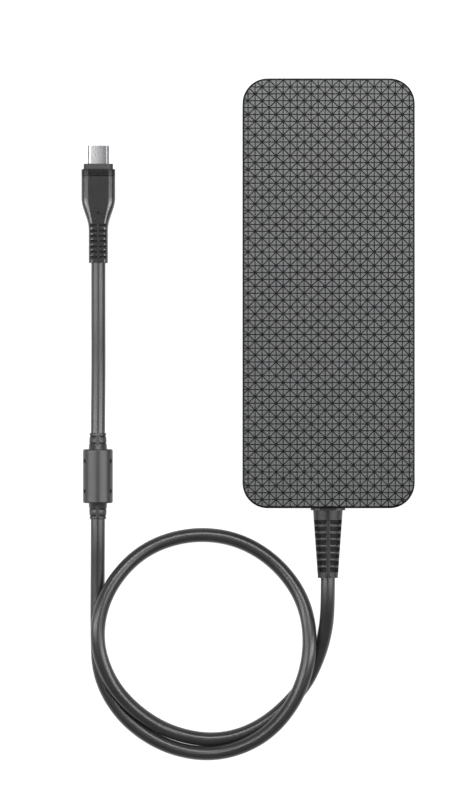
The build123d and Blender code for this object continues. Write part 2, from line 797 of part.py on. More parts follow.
half_body = ferrite_length / 2
half_whole = half_body + ferrite_sleeve_length
sleeve_root = bore + ferrite_sleeve_wall
sleeve_tip = bore + ferrite_sleeve_tip_wall
ferrite_plane = Plane(ferrite_middle, x_dir=(1, 0, 0), z_dir=(0, 0, 1))
with BuildPart() as ferrite_moulding:
    with BuildSketch(ferrite_plane):
        with BuildLine():
            Polyline(
                (bore, -half_whole),
                (sleeve_tip, -half_whole),
                (sleeve_root, -half_body),
                (ferrite_radius, -half_body),
                (ferrite_radius, half_body),
                (sleeve_root, half_body),
                (sleeve_tip, half_whole),
                (bore, half_whole),
                (bore, ferrite_core_length / 2),
                (ferrite_core_radius, ferrite_core_length / 2),
                (ferrite_core_radius, -ferrite_core_length / 2),
                (bore, -ferrite_core_length / 2),
                close=True,
            )
        make_face()
    revolve(axis=Axis(ferrite_middle, (0, 1, 0)))
    rim_edges = ferrite_moulding.edges().filter_by(GeomType.CIRCLE)
    fillet(rim_edges.filter_by(lambda edge: abs(edge.radius - ferrite_radius) < 0.01), ferrite_edge)
    for side in (-1, 1):
        pin_direction = (side * sin(radians(core_pin_angle)), 0, cos(radians(core_pin_angle)))
        for along in (-core_pin_spacing / 2, core_pin_spacing / 2):
            pin_origin = Vector(ferrite_middle) + Vector(0, along, 0)
            pin_origin += Vector(pin_direction) * ferrite_radius
            with BuildSketch(Plane(pin_origin, z_dir=pin_direction).offset(1.0)):
                Circle(core_pin_radius)
            extrude(amount=-1.0 - core_pin_depth, mode=Mode.SUBTRACT)
    for end in (-1, 1):
        for inwards in ferrite_rings:
            ring_origin = Vector(ferrite_middle) + Vector(0, end * (half_whole - inwards), 0)
            with BuildSketch(Plane(ring_origin, x_dir=(1, 0, 0), z_dir=(0, 1, 0))):
                Circle(ferrite_radius)
                Circle(bore + ferrite_ring_floor, mode=Mode.SUBTRACT)
                Rectangle(spine_width, 3 * ferrite_radius, mode=Mode.SUBTRACT)
            extrude(amount=ferrite_ring_width / 2, both=True, mode=Mode.SUBTRACT)
save(ferrite_moulding, "ferrite_moulding")

with BuildPart() as ferrite_core:
    core_plane = Plane(ferrite_middle, x_dir=(1, 0, 0), z_dir=(0, 1, 0)).offset(-ferrite_core_length / 2)
    with BuildSketch(core_plane):
        Circle(ferrite_core_radius - lip_clearance / 2)
        Circle(bore, mode=Mode.SUBTRACT)
        Rectangle(3 * ferrite_radius, lip_clearance, mode=Mode.SUBTRACT)
    extrude(amount=ferrite_core_length)
save(ferrite_core, "ferrite_core")

# ---- USB-C plug ----

neck_start = plug_straight + plug_shoulder
with BuildPart() as plug_moulding:
    with BuildSketch(plug_top_plane.offset(-plug_thickness / 2)):
        with BuildLine():
            middle = ((plug_width + plug_neck_width) / 4, -plug_straight - plug_shoulder / 2)
            Line((0, -plug_band_length), (plug_width / 2, -plug_band_length))
            Line((plug_width / 2, -plug_band_length), (plug_width / 2, -plug_straight))
            TangentArc((plug_width / 2, -plug_straight), middle, tangent=(0, -1))
            TangentArc((plug_neck_width / 2, -neck_start), middle, tangent=(0, 1))
            Line((plug_neck_width / 2, -neck_start), (plug_neck_width / 2, -plug_length))
            Line((plug_neck_width / 2, -plug_length), (0, -plug_length))
            mirror(about=Plane.YZ)
        make_face()
    extrude(amount=plug_thickness)
    for level in (0, -1):
        long_edges = plug_moulding.edges().group_by(Axis.Z)[level].filter_by(Axis.X, reverse=True)
        fillet(long_edges, plug_edge)
    with BuildSketch(plug_plane):
        RectangleRounded(plug_core_width + lip_clearance, plug_core_height + lip_clearance, 1.4)
    extrude(amount=-plug_core_length, mode=Mode.SUBTRACT)
    with BuildSketch(plug_plane):
        RectangleRounded(7.0, 3.6, 1.0)
    extrude(amount=-plug_core_length - 8.0, mode=Mode.SUBTRACT)
    for index in range(plug_slots):
        station = plug_slot_first + index * plug_slot_pitch
        for side in (-1, 1):
            with BuildSketch(plug_plane.offset(-station)):
                with Locations((0, side * (plug_slot_floor + plug_thickness / 2))):
                    Rectangle(plug_neck_width - 0.9, plug_thickness)
                    Rectangle(spine_width, 2 * plug_thickness, mode=Mode.SUBTRACT)
            extrude(amount=-plug_slot, mode=Mode.SUBTRACT)
    with BuildSketch(plug_top_plane):
        with Locations((0, -indicator_distance)):
            Circle(indicator_radius + lip_clearance / 2)
    extrude(amount=plug_thickness, mode=Mode.SUBTRACT)
save(plug_moulding, "plug_moulding")

with BuildPart() as plug_band:
    with BuildSketch(plug_plane):
        RectangleRounded(plug_width, plug_thickness, plug_edge)
        RectangleRounded(
            plug_core_width + lip_clearance, plug_core_height + lip_clearance, 1.4, mode=Mode.SUBTRACT
        )
    extrude(amount=-plug_band_length)
save(plug_band, "plug_band")

with BuildPart() as plug_collar:
    with BuildSketch(plug_plane):
        RectangleRounded(plug_collar_width, plug_collar_height, 2.4)
    extrude(amount=plug_collar_length)
    fillet(plug_collar.faces().sort_by(Axis.Y)[-1].edges(), 0.4)
    with BuildSketch(plug_plane):
        RectangleRounded(plug_core_width, plug_core_height, 1.4)
    extrude(amount=-plug_core_length)
    with BuildSketch(plug_plane.offset(plug_collar_length)):
        SlotOverall(shell_width, shell_height)
    extrude(amount=-plug_collar_length - shell_tail, mode=Mode.SUBTRACT)
    with BuildSketch(plug_plane):
        Rectangle(6.6, 1.0)
    extrude(amount=-plug_core_length, mode=Mode.SUBTRACT)
save(plug_collar, "plug_collar")

shell_front = plug_plane.offset(plug_collar_length + shell_length)
shell_whole = shell_length + plug_collar_length + shell_tail
with BuildPart() as plug_shell:
    with BuildSketch(shell_front):
        SlotOverall(shell_width, shell_height)
        SlotOverall(shell_width - 2 * shell_wall, shell_height - 2 * shell_wall, mode=Mode.SUBTRACT)
    extrude(amount=-shell_whole)
save(plug_shell, "plug_shell")

tongue_slot_width = 6.8
tongue_slot_height = 0.9
tongue_slot_depth = 6.2
insulator_setback = 0.3
contact_thickness = 0.1
with BuildPart() as plug_insulator:
    with BuildSketch(shell_front.offset(-insulator_setback)):
        SlotOverall(shell_width - 2 * shell_wall, shell_height - 2 * shell_wall)
    extrude(amount=-shell_whole + insulator_setback)
    with BuildSketch(shell_front):
        RectangleRounded(tongue_slot_width, tongue_slot_height, 0.3)
    extrude(amount=-insulator_setback - tongue_slot_depth, mode=Mode.SUBTRACT)
save(plug_insulator, "plug_insulator")

with BuildPart() as plug_contacts:
    with BuildSketch(shell_front.offset(-insulator_setback - 0.8)):
        for side in (-1, 1):
            with Locations((0, side * (tongue_slot_height - contact_thickness) / 2)):
                with GridLocations(contact_pitch, 1, contact_count, 1):
                    Rectangle(0.25, contact_thickness)
    extrude(amount=-tongue_slot_depth + 1.6)
save(plug_contacts, "plug_contacts")

with BuildPart() as plug_latch:
    with BuildSketch(shell_front.offset(-insulator_setback - 1.0)):
        for side in (-1, 1):
            with Locations((side * (tongue_slot_width / 2 - 0.1), 0)):
                Rectangle(0.2, 0.3)
    extrude(amount=-tongue_slot_depth + 1.6)
save(plug_latch, "plug_latch")

plug_board_south = indicator_distance + 1.4
with BuildPart() as plug_board:
    with BuildSketch(plug_plane.offset(-shell_tail)):
        Rectangle(6.4, 0.8)
    extrude(amount=-plug_board_south + shell_tail)
save(plug_board, "plug_board")

lens_recess = 0.15
with BuildPart() as indicator_lens:
    with BuildSketch(plug_top_plane.offset(1.2)):
        with Locations((0, -indicator_distance)):
            Circle(indicator_radius)
    extrude(amount=plug_thickness / 2 - lens_recess - 1.2)
save(indicator_lens, "indicator_lens")

with BuildPart() as indicator_light:
    with BuildSketch(plug_top_plane.offset(0.4)):
        with Locations((0, -indicator_distance)):
            Rectangle(1.0, 0.6)
    extrude(amount=0.6)
save(indicator_light, "indicator_light")

pad_patches = [
    (transformer_middle, (22.0, 20.0)),
    (inductor_middle, (16.0, 15.0)),
    (sink_middle, (24.0, 4.0)),
    (rectifier_middle, (24.0, 7.0)),
]
with BuildPart() as thermal_pads:
    with BuildSketch(Plane.XY.offset(lid_inside - copper_thickness)):
        for patch_middle, patch_size in pad_patches:
            with Locations(patch_middle):
                Rectangle(patch_size[0], patch_size[1])
    extrude(amount=-pad_thickness)
save(thermal_pads, "thermal_pads")
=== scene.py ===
import json
import math

import bmesh
import bpy
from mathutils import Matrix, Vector

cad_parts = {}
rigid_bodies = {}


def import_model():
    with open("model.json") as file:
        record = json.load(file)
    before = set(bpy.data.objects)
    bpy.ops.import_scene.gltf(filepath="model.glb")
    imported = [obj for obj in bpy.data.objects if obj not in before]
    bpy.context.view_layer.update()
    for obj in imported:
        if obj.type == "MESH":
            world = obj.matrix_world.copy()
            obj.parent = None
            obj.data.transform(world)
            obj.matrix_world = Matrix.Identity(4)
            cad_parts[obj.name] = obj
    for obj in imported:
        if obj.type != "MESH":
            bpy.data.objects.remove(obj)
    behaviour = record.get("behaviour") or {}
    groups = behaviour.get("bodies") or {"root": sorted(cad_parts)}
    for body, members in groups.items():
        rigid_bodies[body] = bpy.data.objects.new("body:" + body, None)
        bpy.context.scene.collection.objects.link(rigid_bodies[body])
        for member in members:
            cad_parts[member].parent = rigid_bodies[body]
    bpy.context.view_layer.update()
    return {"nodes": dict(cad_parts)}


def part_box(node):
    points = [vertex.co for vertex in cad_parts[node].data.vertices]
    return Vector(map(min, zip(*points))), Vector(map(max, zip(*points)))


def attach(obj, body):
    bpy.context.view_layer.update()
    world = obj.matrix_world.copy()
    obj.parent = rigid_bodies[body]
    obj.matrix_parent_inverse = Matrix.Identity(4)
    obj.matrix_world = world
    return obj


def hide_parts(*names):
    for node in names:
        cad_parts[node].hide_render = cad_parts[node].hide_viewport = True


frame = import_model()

mm = 0.001
print("frame loaded:", len(frame["nodes"]), "nodes")


camera = {"place": (-0.0374, -0.0415, 1.753), "lens": 200, "sensor": 36}

bpy.ops.object.select_all(action="DESELECT")
bpy.ops.object.camera_add(location=camera["place"], rotation=(0, 0, 0))  # straight down, +Y up
bpy.context.object.data.lens = camera["lens"]
bpy.context.object.data.sensor_width = camera["sensor"]
bpy.context.scene.camera = bpy.context.object

# The route lies on the table except where it climbs over itself.
cord = {
    "diameter": 0.0056,
    "length": 0.571,
    "route": [
        (0.0, -0.1112, 0.0105), (0.0, -0.1206, 0.0105), (-0.0006, -0.1312, 0.0073),
        (-0.0034, -0.1424, 0.0035), (-0.0096, -0.1554, 0.0028), (-0.025, -0.17, 0.0028),
        (-0.042, -0.176, 0.0028), (-0.06, -0.1735, 0.0028), (-0.075, -0.1648, 0.0055),
        (-0.0864, -0.1516, 0.0077), (-0.0915, -0.134, 0.0093), (-0.0868, -0.1155, 0.0084),
        (-0.0735, -0.1005, 0.0044), (-0.055, -0.094, 0.0028), (-0.036, -0.0956, 0.0029),
        (-0.0195, -0.1055, 0.0029), (-0.0084, -0.1215, 0.0056), (-0.0064, -0.141, 0.0096),
        (-0.0125, -0.16, 0.0092), (-0.0255, -0.1746, 0.0086), (-0.044, -0.1815, 0.0047),
        (-0.0635, -0.1785, 0.0028), (-0.08, -0.1675, 0.0028), (-0.09, -0.151, 0.0028),
        (-0.0906, -0.132, 0.0028), (-0.0905, -0.113, 0.0038), (-0.0903, -0.093, 0.0059),
        (-0.0903, -0.0525, 0.0059), (-0.0901, -0.03, 0.005), (-0.0902, -0.0086, 0.0034),
        (-0.0902, 0.0124, 0.0034),
    ],
}

cordCurve = bpy.data.curves.new("cord_jacket", "CURVE")
cordCurve.dimensions = "3D"
cordCurve.bevel_depth = cord["diameter"] / 2
cordCurve.bevel_resolution = 10
cordCurve.resolution_u = 16
spline = cordCurve.splines.new("NURBS")
spline.points.add(len(cord["route"]) - 1)
for point, place in zip(spline.points, cord["route"]):
    point.co = (*place, 1)
spline.order_u = 3
spline.use_endpoint_u = True
cordJacket = bpy.data.objects.new("cord_jacket", cordCurve)
bpy.context.scene.collection.objects.link(cordJacket)
print("cord laid:", len(cord["route"]), "points")


def linear(hexColour):
    channels = [int(hexColour[at:at + 2], 16) / 255 for at in (1, 3, 5)]
    return [c / 12.92 if c <= 0.04045 else ((c + 0.055) / 1.055) ** 2.4 for c in channels] + [1]


def addNode(material, kind, values=(), links=(), **settings):
    node = material.node_tree.nodes.new("ShaderNode" + kind)
    for name, value in settings.items():
        setattr(node, name, value)
    for socket, value in dict(values).items():
        node.inputs[socket].default_value = value
    for socket, source in dict(links).items():
        material.node_tree.links.new(source, node.inputs[socket])
    return node


# Every size here is in millimetres. Colour and shade are the two ends of a soft mottle, grain is the
# fine relief, and stretch pulls both along an axis, as rolling, drawing or brushing does.
finishes = {
    # spark-eroded mould texture on polycarbonate blend: an even dark grey that goes pale only in glare
    "case_plastic": dict(
        name="sparked polycarbonate blend", colour="#2a2b2c", shade="#2f3031", mottle=9.0,
        grain=0.16, relief=0.012, roughness=(0.37, 0.42), ior=1.6,
    ),
    # polyester label left blank: flatter and glossier than the shell round it
    "label_film": dict(
        name="polyester label film", colour="#2c2d2f", shade="#303134", mottle=14.0,
        grain=0.5, relief=0.002, roughness=(0.26, 0.32), ior=1.6,
    ),
    # glass-filled nylon: near black, with a faint fibre streak in its gloss
    "inlet_nylon": dict(
        name="glass-filled nylon", colour="#1b1b1c", shade="#232324", mottle=2.5,
        grain=0.3, relief=0.008, roughness=(0.38, 0.52), ior=1.53, stretch=(1, 0.25, 1),
    ),
    # bright nickel over brass: a warm mirror, softened by plating haze
    "nickel_plate": dict(
        name="nickel plate", colour="#c9c3b6", shade="#b5ae9f", mottle=1.8,
        grain=0.08, relief=0.001, roughness=(0.16, 0.26), metallic=1, stretch=(1, 0.2, 1),
    ),
    # lead insulation in soft PVC: smooth and a little waxy
    "brown_wire": dict(
        name="brown PVC", colour="#5a2f18", shade="#693a20", mottle=3.0, roughness=(0.32, 0.4),
    ),
    "blue_wire": dict(
        name="blue PVC", colour="#1b4aa0", shade="#2456ae", mottle=3.0, roughness=(0.32, 0.4),
    ),
    "red_wire": dict(
        name="red PVC", colour="#9c1d18", shade="#ab2a22", mottle=3.0, roughness=(0.32, 0.4),
    ),
    "black_wire": dict(
        name="black PVC", colour="#161617", shade="#1d1d1f", mottle=3.0, roughness=(0.32, 0.4),
    ),
    "white_wire": dict(
        name="white PVC", colour="#dedcd6", shade="#d2cfc7", mottle=3.0, roughness=(0.32, 0.4),
    ),
    # the earth lead's two colours run along it as broad stripes
    "earth_wire": dict(
        name="striped PVC", colour="#2c8a2e", shade="#359638", mottle=3.0, roughness=(0.32, 0.4),
        bands=(1.5, "#d9c91e", "X"),
    ),
    # solder mask over glass cloth: glossy green with the cloth just showing
    "circuit_board": dict(
        name="solder-masked laminate", colour="#0f4a2a", shade="#176338", mottle=2.2,
        grain=0.4, relief=0.01, roughness=(0.2, 0.32), ior=1.55, bands=(1.27, "#1c7443", "X"),
    ),
    # zinc plate: pale and slightly cloudy
    "zinc_screw": dict(
        name="zinc plate", colour="#b9b9b4", shade="#a2a29c", mottle=1.2,
        grain=0.1, relief=0.002, roughness=(0.28, 0.42), metallic=1,
    ),
    # thin rolled aluminium: streaks along the strip it was cut from
    "shield_sheet": dict(
        name="rolled aluminium", colour="#c7c7c9", shade="#b2b2b5", mottle=3.0,
        grain=0.12, relief=0.002, roughness=(0.3, 0.42), metallic=1, stretch=(1, 0.05, 1),
    ),
    # rolled copper: pink where clean, browner in clouds
    "copper_sheet": dict(
        name="rolled copper", colour="#b8714d", shade="#96573a", mottle=7.0,
        grain=0.15, relief=0.002, roughness=(0.28, 0.44), metallic=1, stretch=(1, 0.06, 1),
    ),
    # black polyester film: thin, slick, slightly wavy
    "polyester_film": dict(
        name="black polyester film", colour="#19191b", shade="#202023", mottle=12.0,
        grain=4.0, relief=0.02, roughness=(0.18, 0.28), ior=1.6,
    ),
    # filled silicone: chalky and soft
    "gap_pad": dict(
        name="silicone gap pad", colour="#6f8494", shade="#7b909f", mottle=1.5,
        grain=0.25, relief=0.03, roughness=(0.72, 0.85), ior=1.41,
    ),
    # moulded fuse case: plain satin plastic
    "fuse_plastic": dict(
        name="moulded fuse case", colour="#26272b", shade="#2d2e33", mottle=4.0,
        grain=0.2, relief=0.006, roughness=(0.36, 0.46), ior=1.53,
    ),
    # dipped discs: thick lacquer that pools unevenly
    "blue_disc": dict(
        name="blue dip coat", colour="#1c56a4", shade="#2b68b8", mottle=2.0,
        grain=0.9, relief=0.05, roughness=(0.22, 0.36), ior=1.55,
    ),
    "green_disc": dict(
        name="green dip coat", colour="#2a5c38", shade="#376d45", mottle=2.0,
        grain=0.9, relief=0.05, roughness=(0.3, 0.45), ior=1.55,
    ),
    # potted film capacitors in moulded boxes
    "film_yellow": dict(
        name="yellow polypropylene box", colour="#d0a92a", shade="#c69d22", mottle=6.0,
        grain=0.25, relief=0.008, roughness=(0.34, 0.46), ior=1.49,
    ),
    "film_red": dict(
        name="red epoxy box", colour="#9d2c20", shade="#8f251a", mottle=5.0,
        grain=0.3, relief=0.01, roughness=(0.34, 0.46), ior=1.55,
    ),
    # sintered ferrite: charcoal, dry, with pinholes
    "ferrite": dict(
        name="sintered ferrite", colour="#2b2b2d", shade="#38383a", mottle=0.8,
        grain=0.12, relief=0.02, roughness=(0.55, 0.72), ior=2.0,
    ),
    # enamelled copper wire: dark bands painted between the turns as shade, so each turn reads as a bright
    # ridge
    "winding_wire": dict(
        name="enamelled copper wire", colour="#a4532a", shade="#8c4220", mottle=1.5,
        grain=0.5, relief=0.01, roughness=(0.22, 0.34), metallic=1, bands=(0.7, "#5d2a14", "DIAGONAL"),
    ),
    # polyester winding tape: overlapped turns of yellow film
    "winding_tape": dict(
        name="winding tape", colour="#c8a12c", shade="#bb9324", mottle=4.0,
        grain=1.2, relief=0.03, roughness=(0.28, 0.4), ior=1.6, bands=(3.2, "#a9831f", "Z"),
    ),
    # phenolic former: dark brown-black, dull
    "phenolic": dict(
        name="moulded phenolic", colour="#241c18", shade="#2e2520", mottle=1.6,
        grain=0.22, relief=0.012, roughness=(0.48, 0.6), ior=1.62,
    ),
    # epoxy moulding compound: matte black with mineral specks
    "moulded_epoxy": dict(
        name="epoxy moulding compound", colour="#191919", shade="#242424", mottle=0.5,
        grain=0.1, relief=0.01, roughness=(0.5, 0.64), ior=1.57,
    ),
    # extruded aluminium: fine lines along the fins
    "heat_sink": dict(
        name="extruded aluminium", colour="#b7b8ba", shade="#a4a5a8", mottle=2.0,
        grain=0.1, relief=0.004, roughness=(0.36, 0.5), metallic=1, stretch=(1, 1, 0.08),
    ),
    # shrunk sleeve over a can: glossy and taut
    "capacitor_sleeve": dict(
        name="shrink sleeve", colour="#141a2b", shade="#1a2135", mottle=7.0,
        grain=2.5, relief=0.02, roughness=(0.2, 0.3), ior=1.54,
    ),
    # bare drawn cans
    "capacitor_can": dict(
        name="drawn aluminium can", colour="#c2c3c5", shade="#aeb0b2", mottle=2.5,
        grain=0.1, relief=0.002, roughness=(0.24, 0.36), metallic=1, stretch=(1, 1, 0.1),
    ),
    # thermoplastic elastomer: dark and soft-looking, its highlights wide but clear
    "soft_moulding": dict(
        name="moulded elastomer", colour="#19191a", shade="#1d1d1e", mottle=5.0,
        grain=0.14, relief=0.004, roughness=(0.26, 0.32), ior=1.42,
    ),
    # extruded elastomer jacket: satin, faintly drawn out
    "cord_jacket": dict(
        name="extruded elastomer", colour="#1a1a1b", shade="#1e1e1f", mottle=8.0,
        grain=0.3, relief=0.002, roughness=(0.28, 0.34), ior=1.42,
    ),
    # polished band: blacker and plainer than the satin moulding beside it
    "plug_gloss": dict(
        name="polished polycarbonate", colour="#060607", shade="#09090a", mottle=6.0,
        grain=0.8, relief=0.001, roughness=(0.24, 0.3), ior=1.3,
    ),
    # nylon nose round the shell: greyer and dry
    "plug_nose": dict(
        name="moulded nylon", colour="#1c1c1d", shade="#212122", mottle=2.5,
        grain=0.16, relief=0.004, roughness=(0.42, 0.5), ior=1.36,
    ),
    # drawn stainless steel with a painted reflection: its colour darkens across its width, and painted
    # shade darkens both rounded sides
    "plug_steel": dict(
        name="drawn stainless steel", colour="#b2b2b3", shade="#aeaeaf", mottle=4.0,
        grain=0.3, relief=0, roughness=(0.27, 0.28), metallic=1, stretch=(1, 0.06, 1),
        sweep=(-93.1, -87.3, "#6c6c6e"), side=(3.6, 3.85, "#303031"),
    ),
    # hard gold flash on spring contacts
    "contact_gold": dict(
        name="gold flash", colour="#d8ad4e", shade="#c3963a", mottle=0.8,
        grain=0.06, relief=0.001, roughness=(0.2, 0.3), metallic=1,
    ),
    # black liquid crystal polymer: fine flow marks
    "plug_nylon": dict(
        name="liquid crystal polymer", colour="#151516", shade="#1d1d1e", mottle=1.2,
        grain=0.12, relief=0.005, roughness=(0.4, 0.5), ior=1.6,
    ),
    # lens painted near black: painted shade standing in for the shade down in the lamp hole
    "indicator_clear": dict(
        name="smoked polycarbonate", colour="#020202", shade="#040404", mottle=0.8,
        grain=0.3, relief=0.001, roughness=(0.4, 0.46), ior=1.2,
    ),
    # unlit white emitter under the lens
    "indicator_white": dict(
        name="phosphor cap", colour="#dcd8b8", shade="#d0cba6", mottle=0.3,
        grain=0.1, relief=0.004, roughness=(0.4, 0.5), ior=1.5,
    ),
}


def makeFinish(look, grooveShade=None):
    material = bpy.data.materials.new(look["name"])
    material.use_nodes = True
    material.node_tree.nodes.clear()
    space = addNode(material, "TexCoord")
    stretched = addNode(
        material, "Mapping", {"Scale": look.get("stretch", (1, 1, 1))}, {"Vector": space.outputs["Object"]}
    ).outputs[0]
    cloud = addNode(
        material, "TexNoise", {"Scale": 1 / (look["mottle"] * mm), "Detail": 3.0}, {"Vector": stretched}
    )
    cloudShare = addNode(
        material, "MapRange", {"From Min": 0.35, "From Max": 0.65}, {"Value": cloud.outputs["Fac"]}
    )
    colour = addNode(
        material, "Mix", {6: linear(look["colour"]), 7: linear(look["shade"])},
        {0: cloudShare.outputs[0]}, data_type="RGBA",
    ).outputs[2]
    if "bands" in look:
        pitch, bandColour, direction = look["bands"]
        wave = addNode(
            material, "TexWave", {"Scale": math.pi / 10 / (pitch * mm), "Distortion": 0.4},
            {"Vector": space.outputs["Object"]}, bands_direction=direction,
        )
        colour = addNode(
            material, "Mix", {7: linear(bandColour)}, {0: wave.outputs["Fac"], 6: colour}, data_type="RGBA"
        ).outputs[2]
    if "sweep" in look:  # painted reflection: one colour turns to a darker one along X, and painted shade takes over past both sides
        start, end, sweepColour = look["sweep"]
        place = addNode(material, "SeparateXYZ", links={"Vector": space.outputs["Object"]})
        across = addNode(
            material, "MapRange", {"From Min": start * mm, "From Max": end * mm},
            {"Value": place.outputs["X"]},
        )
        colour = addNode(
            material, "Mix", {7: linear(sweepColour)}, {0: across.outputs[0], 6: colour}, data_type="RGBA"
        ).outputs[2]
        offCentre = addNode(
            material, "Math", {1: (start + end) / 2 * mm}, {0: place.outputs["X"]}, operation="SUBTRACT"
        )
        distance = addNode(material, "Math", links={0: offCentre.outputs[0]}, operation="ABSOLUTE")
        edgeShadeMask = addNode(
            material, "MapRange", {"From Min": look["side"][0] * mm, "From Max": look["side"][1] * mm},
            {"Value": distance.outputs[0]},
        )
        colour = addNode(
            material, "Mix", {7: linear(look["side"][2])},
            {0: edgeShadeMask.outputs[0], 6: colour}, data_type="RGBA",
        ).outputs[2]
    if grooveShade:  # painted shade: a dark colour at the grooves' floor and round the rim, where shade falls, and the plain colour down the sides
        height = addNode(material, "SeparateXYZ", links={"Vector": space.outputs["Object"]})
        raised = addNode(
            material, "MapRange", {"From Min": grooveShade["bottom"] * mm, "From Max": grooveShade["top"] * mm},
            {"Value": height.outputs["Z"]},
        )
        side = addNode(
            material, "MapRange",
            {"From Min": grooveShade["side"] * mm, "From Max": (grooveShade["side"] - grooveShade["fade"]) * mm},
            {"Value": height.outputs["Z"]},
        )
        outOfShade = addNode(
            material, "Math", links={0: raised.outputs[0], 1: side.outputs[0]}, operation="MAXIMUM"
        )
        colour = addNode(
            material, "Mix", {6: linear(grooveShade["colour"])},
            {0: outOfShade.outputs[0], 7: colour}, data_type="RGBA",
        ).outputs[2]
        gloss = addNode(
            material, "MapRange", {"To Min": grooveShade["gloss"], "To Max": 0.5}, {"Value": outOfShade.outputs[0]}
        )
    grain = addNode(
        material, "TexNoise", {"Scale": 1 / (look.get("grain", 0.4) * mm), "Detail": 2.0},
        {"Vector": stretched},
    )
    smooth, dull = look["roughness"]
    roughness = addNode(
        material, "MapRange", {"From Min": 0.3, "From Max": 0.7, "To Min": smooth, "To Max": dull},
        {"Value": grain.outputs["Fac"]},
    )
    bump = addNode(
        material, "Bump", {"Strength": 1.0, "Distance": look.get("relief", 0.004) * mm},
        {"Height": grain.outputs["Fac"]},
    )
    shader = addNode(
        material, "BsdfPrincipled", {"Metallic": look.get("metallic", 0), "IOR": look.get("ior", 1.5)},
        {"Base Color": colour, "Roughness": roughness.outputs[0], "Normal": bump.outputs[0]},
    )
    # the painted shade also dims the gloss at the grooves' floor and round the rim
    if grooveShade:
        material.node_tree.links.new(gloss.outputs[0], shader.inputs["Specular IOR Level"])
    addNode(material, "OutputMaterial", links={"Surface": shader.outputs[0]})
    return material


def vary(slotName, sizes):
    # the slot's finish as one piece shows it
    return makeFinish({**finishes[slotName], **sizes["finish"]})


# painted shade: the same elastomer painted darker down in a slot, where little light gets to it
slotShade = makeFinish({
    **finishes["soft_moulding"], "name": "elastomer in the slots", "colour": "#070708", "shade": "#0b0b0c",
    "roughness": (0.5, 0.6), "ior": 1.25,
})

made = {slot: makeFinish(look) for slot, look in finishes.items()}
for node in frame["nodes"].values():
    for slot in node.material_slots:
        slot.material = made[slot.material.name.split(".")[0]]
print("finishes made:", len(made))


shaping = {"joinGap": 0.004, "cutGap": 0.001, "bevelAngle": 40, "smoothAngle": 32}  # mm and degrees


def pick(kind, test):
    # in edit mode, selects only the verts, edges or faces that pass the test
    bpy.ops.mesh.select_mode(type={"verts": "VERT", "edges": "EDGE", "faces": "FACE"}[kind])
    bpy.ops.mesh.select_all(action="DESELECT")
    mesh = bmesh.from_edit_mesh(bpy.context.object.data)
    for part in getattr(mesh, kind):
        if test(part):
            part.select_set(True)
    bmesh.update_edit_mesh(bpy.context.object.data)


def middle(edge):
    return (edge.verts[0].co + edge.verts[1].co) / 2


def runsAlong(edge, axis):
    # true for an edge parallel to an axis
    return abs((edge.verts[0].co - edge.verts[1].co).normalized()[axis]) > 0.999


def near(value, target, slack=0.02):
    # value and target in metres, slack in millimetres
    return abs(value - target) < slack * mm


def clearSelection():
    if bpy.context.object and bpy.context.object.mode == "EDIT":
        bpy.ops.object.mode_set(mode="OBJECT")
    bpy.ops.object.select_all(action="DESELECT")


def startBlock(name, low, high):
    # a cube between two corners in millimetres, left in edit mode
    clearSelection()
    low, high = Vector(low) * mm, Vector(high) * mm
    bpy.ops.mesh.primitive_cube_add(size=1, location=(low + high) / 2, scale=high - low)
    bpy.ops.object.transform_apply(location=True, rotation=True, scale=True)
    bpy.context.object.name = name
    bpy.ops.object.mode_set(mode="EDIT")
    return bpy.context.object


def startRod(name, radius, start, end, sides):
    # a cylinder from one point to another in millimetres, left in edit mode
    clearSelection()
    start, end = Vector(start), Vector(end)
    turn = (end - start).to_track_quat("Z", "Y").to_euler()
    bpy.ops.mesh.primitive_cylinder_add(
        vertices=sides, radius=radius * mm, depth=(end - start).length * mm,
        location=(start + end) / 2 * mm, rotation=turn,
    )
    bpy.ops.object.transform_apply(location=True, rotation=True, scale=True)
    bpy.context.object.name = name
    bpy.ops.object.mode_set(mode="EDIT")
    return bpy.context.object


def cutPlane(point, across):
    # cuts all of the selected faces by a plane, in millimetres
    bpy.ops.mesh.bisect(
        plane_co=Vector(point) * mm, plane_no=Vector(across).normalized(), threshold=shaping["cutGap"] * mm
    )


def combine(piece, tool, operation):
    # joins the tool to the piece or cuts it away, and goes back to editing the piece
    clearSelection()
    piece.select_set(True)
    bpy.context.view_layer.objects.active = piece
    bpy.ops.object.modifier_add(type="BOOLEAN")
    modifier = piece.modifiers[-1]
    modifier.object = tool
    modifier.operation = operation
    modifier.solver = "EXACT"
    bpy.ops.object.modifier_apply(modifier=modifier.name)
    bpy.data.objects.remove(tool)
    bpy.ops.object.mode_set(mode="EDIT")


def dressWithSlots(piece, finish):
    # the piece's own finish, and the darker one painted as shade in its slots
    piece.data.materials.append(finish)
    piece.data.materials.append(slotShade)


def sinkSlots(inset, depth):
    # sinks the selected faces, and marks floors and walls for the painted slot shade
    bpy.ops.mesh.inset(thickness=inset * mm, depth=-depth * mm, use_boundary=True)
    bpy.ops.mesh.select_more()
    mesh = bmesh.from_edit_mesh(bpy.context.object.data)
    for face in mesh.faces:
        if face.select:
            face.material_index = 1
    bmesh.update_edit_mesh(bpy.context.object.data)


